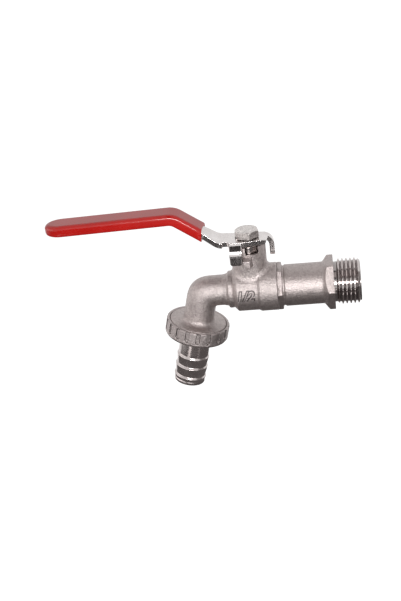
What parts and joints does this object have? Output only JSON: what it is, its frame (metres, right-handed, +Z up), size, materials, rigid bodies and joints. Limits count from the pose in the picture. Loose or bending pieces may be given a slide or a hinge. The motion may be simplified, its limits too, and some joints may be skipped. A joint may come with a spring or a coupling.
{
  "type": "hose tap",
  "caption": "Ball-type hose tap: straight male thread inlet, lever with plastic grip, bent spout, union nut and barbed hose tail.",
  "frame": {"origin": "centre of the hexagon flange's face, where the inlet thread starts", "axes": "+X out along the inlet thread, +Z up along the stem, lever open along -X"},
  "size_m": [0.1412, 0.0296, 0.0881],
  "materials": {
    "cast_brass": "blasted, matte nickel plate",
    "turned_brass": "turned, bright nickel plate",
    "bare_brass": "turned",
    "lever_steel": "satin zinc plate",
    "bolt_steel": "zinc plate",
    "grip_plastic": "red, glossy",
    "ball_chrome": "polished",
    "seal_plastic": "white PTFE",
    "seal_rubber": "black"
  },
  "bodies": {
    "tap": {"valve_body": "cast_brass", "inlet_adapter": "turned_brass", "joint_seal_ring": "seal_plastic", "seat_ring_inlet": "seal_plastic", "seat_ring_outlet": "seal_plastic", "stem_thrust_washer": "seal_plastic", "packing_ring_lower": "seal_plastic", "packing_ring_upper": "seal_plastic", "gland_ring": "bare_brass", "gland_nut": "turned_brass"},
    "lever": {"lever_plate": "lever_steel", "grip_sleeve": "grip_plastic", "lever_bolt": "bolt_steel", "bolt_washer": "bolt_steel", "stem": "bare_brass", "stem_o_ring": "seal_rubber", "ball": "ball_chrome"},
    "tail": {"hose_tail": "turned_brass", "tail_gasket": "seal_rubber"},
    "nut": {"union_nut": "cast_brass"}
  },
  "joints": [
    {"name": "lever_turn", "type": "hinge", "parent": "tap", "child": "lever", "pos_m": [-0.0378, 0, 0], "axis": [0, 0, 1], "range_deg": [-90, 0]},
    {"name": "tail_slide", "type": "slide", "parent": "tap", "child": "tail", "axis": [-0.2419, 0, -0.9703], "range_m": [0, 0.0045]},
    {"name": "nut_turn", "type": "hinge", "parent": "tail", "child": "nut", "pos_m": [-0.0606, 0, 0], "axis": [-0.2419, 0, -0.9703], "range_deg": [0, 893.1]}
  ],
  "couplings": [
    {"joint": "nut_turn", "follows": "tail_slide", "rad_per_m": 3463.7}
  ]
}
